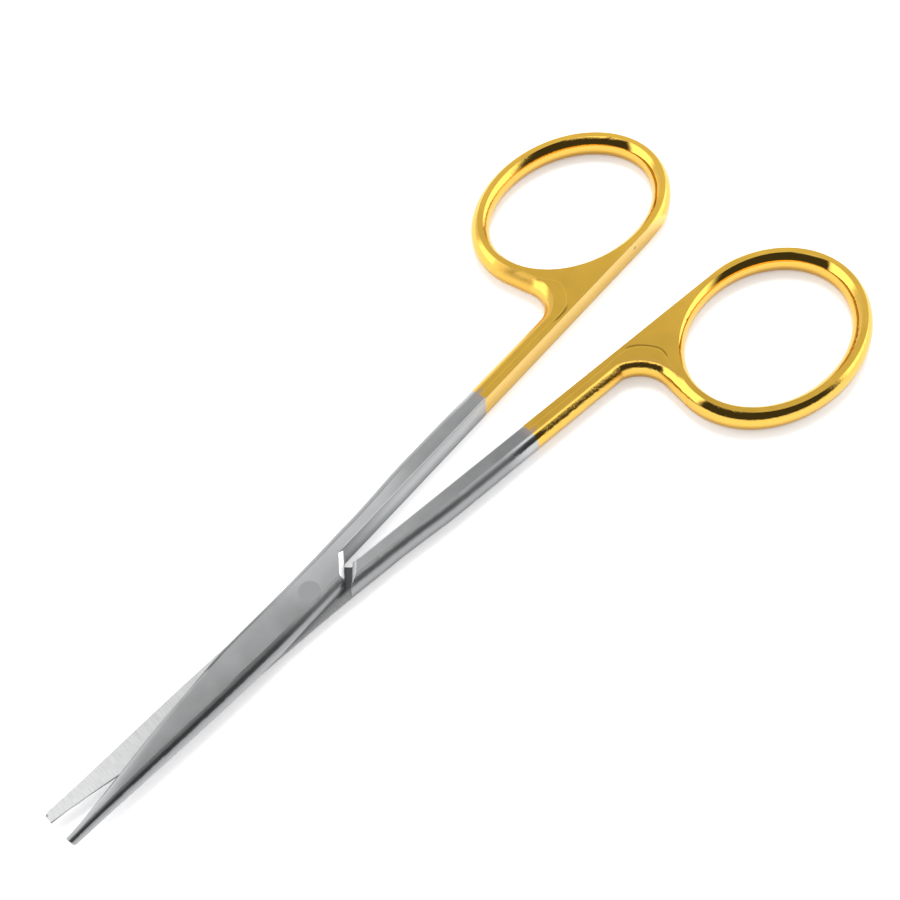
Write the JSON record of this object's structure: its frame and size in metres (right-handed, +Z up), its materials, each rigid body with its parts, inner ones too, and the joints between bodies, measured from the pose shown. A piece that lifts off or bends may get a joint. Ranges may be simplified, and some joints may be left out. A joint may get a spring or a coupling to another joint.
{
  "type": "strabismus scissors",
  "caption": "Slim straight surgical scissors with narrow blunt blades, long tapering shanks, a lap joint with a screw, and oval gold-plated finger rings.",
  "frame": {"origin": "middle of the scissors as they lie slightly open, on the surface they lie on", "axes": "+X along the scissors towards the blade tips, +Z up out of the surface, parallel to the pivot screw"},
  "size_m": [0.1144, 0.0552, 0.0035],
  "materials": {
    "satin_steel": "satin ground steel, gold plated from the rear third of the shanks over the rings",
    "screw_steel": "ground steel"
  },
  "bodies": {
    "lower": {"lower_half": "satin_steel"},
    "upper": {"upper_half": "satin_steel", "pivot_screw": "screw_steel"}
  },
  "joints": [
    {"name": "pivot", "type": "hinge", "parent": "lower", "child": "upper", "pos_m": [0.02151, 0, 0.00173], "axis": [0, 0, 1], "range_deg": [-5.6, 100]}
  ]
}
